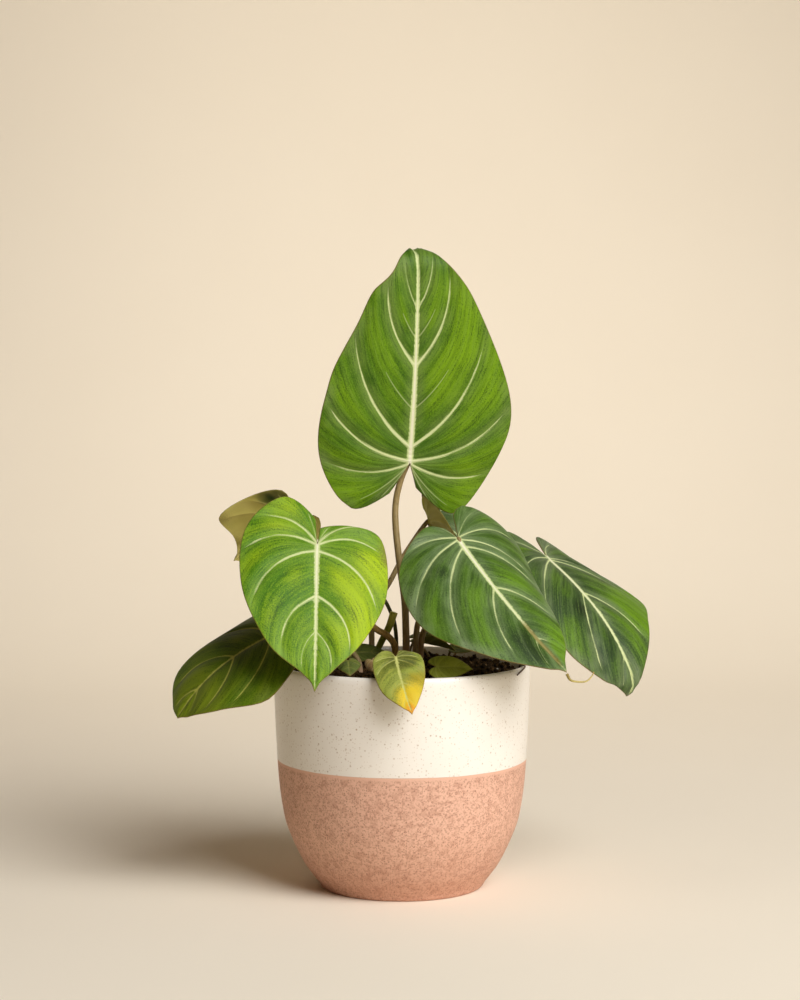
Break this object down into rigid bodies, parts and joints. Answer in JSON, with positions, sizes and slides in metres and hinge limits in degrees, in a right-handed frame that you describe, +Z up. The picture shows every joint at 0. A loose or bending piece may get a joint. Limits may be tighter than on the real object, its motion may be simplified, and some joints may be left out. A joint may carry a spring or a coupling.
{
  "type": "potted philodendron gloriosum",
  "caption": "House plant with heart-shaped velvet leaves and pale veins on slender stalks, standing in a round two-tone ceramic pot.",
  "frame": {"origin": "centre of the flat foot of the pot, on the surface it stands on", "axes": "+Z up, +X to the viewer's right in the picture, +Y away from the viewer"},
  "size_m": [0.2794, 0.1684, 0.3717],
  "materials": {
    "pot": "satin",
    "potting_mix": "matte",
    "leaf": "satin",
    "bright_leaf": "satin",
    "yellowing_leaf": "satin",
    "stalk": "satin",
    "young_leaf": "satin",
    "sheath": "satin",
    "dried": "matte"
  },
  "bodies": {
    "root": {"pot": "pot", "potting_mix": "potting_mix", "blade_1": "leaf", "stalk_1": "stalk", "blade_2": "bright_leaf", "stalk_2": "stalk", "blade_3": "leaf", "stalk_3": "stalk", "blade_4": "leaf", "stalk_4": "stalk", "blade_5": "leaf", "stalk_5": "stalk", "blade_6": "leaf", "stalk_6": "stalk", "blade_7": "leaf", "stalk_7": "stalk", "blade_8": "yellowing_leaf", "stalk_8": "stalk", "young_leaf_1": "young_leaf", "young_leaf_2": "young_leaf", "young_leaf_3": "young_leaf", "young_leaf_4": "young_leaf", "young_leaf_5": "young_leaf", "young_leaf_6": "young_leaf", "young_leaf_7": "young_leaf", "sheath": "sheath", "dried_tip": "dried", "dried_tendril": "dried"}
  },
  "joints": []
}
